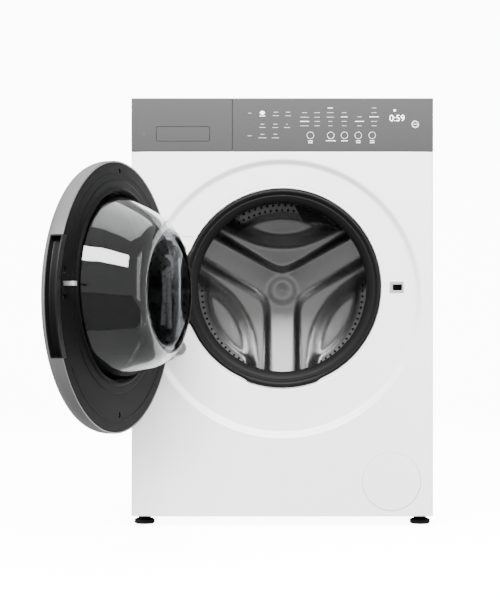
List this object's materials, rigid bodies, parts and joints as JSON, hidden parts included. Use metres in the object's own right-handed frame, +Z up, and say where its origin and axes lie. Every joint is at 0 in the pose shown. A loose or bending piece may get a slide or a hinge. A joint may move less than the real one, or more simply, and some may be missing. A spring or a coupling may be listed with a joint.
{
  "type": "front load washing machine",
  "caption": "Front load washing machine with an open round door, a suspended drum, a detergent drawer and a direct-drive motor.",
  "frame": {"origin": "on the floor, at the middle of the base of the whole outline with the door open", "axes": "+X to the machine's right, +Y from the front face to the rear, +Z up"},
  "size_m": [0.7126, 1.0492, 0.85],
  "materials": {
    "white_enamel": "smooth semi-gloss enamel on sheet steel",
    "galvanised_steel": "zinc-coated sheet",
    "filter_cover": "smooth moulded plastic, colour matched to the panel",
    "silver_fascia": "satin silver lacquer with a vertical fade",
    "door_rim_silver": "satin metal rim",
    "door_cover_dark": "gloss tinted cover",
    "door_frame_dark": "fine textured moulding",
    "black_plastic": "moulded, satin",
    "foot_black": "moulded rubber",
    "glass_bowl": "clear pressed glass",
    "latch_steel": "zinc-plated pressing",
    "lock_plastic": "grey moulding",
    "gasket_rubber": "soft grey rubber",
    "seal_rubber": "nitrile rubber",
    "drum_steel": "pressed and polished stainless steel",
    "lifter_plastic": "moulded, satin",
    "cast_aluminium": "die cast",
    "bright_steel": "ground steel",
    "rotor_steel": "zinc-plated steel",
    "stator_copper": "lacquered windings on a laminated core",
    "tub_plastic": "filled polypropylene",
    "concrete": "cast weight",
    "white_plastic": "moulded, satin",
    "grey_plastic": "moulded, satin",
    "circuit_board": "lacquered board"
  },
  "bodies": {
    "cabinet": {"side_panel_left": "white_enamel", "side_panel_right": "white_enamel", "front_panel": "white_enamel", "top_panel": "white_enamel", "rear_panel": "galvanised_steel", "rear_access_cover": "galvanised_steel", "base_tray": "black_plastic", "fascia": "silver_fascia", "control_board": "circuit_board", "dispenser_housing": "white_plastic", "water_inlet_valve": "white_plastic", "mains_cable_gland": "black_plastic", "door_gasket": "gasket_rubber", "door_lock": "lock_plastic", "hinge_bracket": "latch_steel", "hinge_pin": "latch_steel", "drain_pump": "white_plastic", "suspension_spring_left": "rotor_steel", "suspension_spring_right": "rotor_steel", "damper_cylinder_left": "black_plastic", "damper_cylinder_right": "black_plastic"},
    "tub": {"tub_front_shell": "tub_plastic", "tub_rear_shell": "tub_plastic", "front_counterweight": "concrete", "top_counterweight": "concrete", "wash_heater": "bright_steel", "front_bearing": "bright_steel", "rear_bearing": "bright_steel", "shaft_seal": "seal_rubber", "motor_stator": "stator_copper", "spray_nozzle": "black_plastic", "damper_rod_left": "bright_steel", "damper_rod_right": "bright_steel"},
    "drum": {"drum_shell": "drum_steel", "drum_front_ring": "drum_steel", "drum_back": "drum_steel", "drum_spider": "cast_aluminium", "drum_shaft": "bright_steel", "motor_rotor": "rotor_steel", "drum_lifter_1": "lifter_plastic", "drum_lifter_2": "lifter_plastic", "drum_lifter_3": "lifter_plastic"},
    "door": {"door_outer_ring": "door_rim_silver", "door_front_cover": "door_cover_dark", "door_inner_frame": "door_frame_dark", "door_grip": "black_plastic", "door_glass": "glass_bowl", "door_latch_hook": "latch_steel", "door_hinge_arm": "latch_steel"},
    "drawer": {"drawer_front": "silver_fascia", "drawer_tray": "white_plastic", "siphon_cap": "grey_plastic"},
    "drawer_flap": {"drawer_flap": "silver_fascia"},
    "filter_cover": {"filter_cover": "filter_cover"},
    "filter_cap": {"filter_cap": "white_plastic"},
    "foot_front_left": {"foot_front_left": "foot_black"},
    "foot_front_right": {"foot_front_right": "foot_black"},
    "foot_rear_left": {"foot_rear_left": "foot_black"},
    "foot_rear_right": {"foot_rear_right": "foot_black"}
  },
  "joints": [
    {"name": "door_hinge", "type": "hinge", "parent": "cabinet", "child": "door", "pos_m": [-0.17102, -0.07141, 0.452], "axis": [0, 0, -1], "range_deg": [-109, 0]},
    {"name": "tub_suspension", "type": "slide", "parent": "cabinet", "child": "tub", "axis": [0, 0, 1], "range_m": [-0.01, 0.01], "stiffness_N_per_m": 12000, "springref_m": 0.0321, "deforming": ["suspension_spring_left", "suspension_spring_right", "door_gasket"]},
    {"name": "drum_spin", "type": "hinge", "parent": "tub", "child": "drum", "pos_m": [0.05628, 0.22459, 0.474], "axis": [0, 1, 0], "continuous": true},
    {"name": "drawer_slide", "type": "slide", "parent": "cabinet", "child": "drawer", "axis": [0, -1, 0], "range_m": [0, 0.24]},
    {"name": "flap_hinge", "type": "hinge", "parent": "drawer", "child": "drawer_flap", "pos_m": [-0.14102, -0.06581, 0.795], "axis": [1, 0, 0], "range_deg": [0, 45], "stiffness_Nm_per_rad": 0.01, "springref_deg": -34.38},
    {"name": "filter_cover_pull", "type": "slide", "parent": "cabinet", "child": "filter_cover", "axis": [0, -1, 0], "range_m": [0, 0.05]},
    {"name": "filter_cap_turn", "type": "hinge", "parent": "cabinet", "child": "filter_cap", "pos_m": [0.27328, -0.01541, 0.088], "axis": [0, 1, 0], "continuous": true},
    {"name": "levelling_front_left", "type": "hinge", "parent": "cabinet", "child": "foot_front_left", "pos_m": [-0.22072, -0.03341, 0.02], "axis": [0, 0, 1], "continuous": true},
    {"name": "levelling_front_right", "type": "hinge", "parent": "cabinet", "child": "foot_front_right", "pos_m": [0.33328, -0.03341, 0.02], "axis": [0, 0, 1], "continuous": true},
    {"name": "levelling_rear_left", "type": "hinge", "parent": "cabinet", "child": "foot_rear_left", "pos_m": [-0.22072, 0.47059, 0.02], "axis": [0, 0, 1], "continuous": true},
    {"name": "levelling_rear_right", "type": "hinge", "parent": "cabinet", "child": "foot_rear_right", "pos_m": [0.33328, 0.47059, 0.02], "axis": [0, 0, 1], "continuous": true}
  ]
}
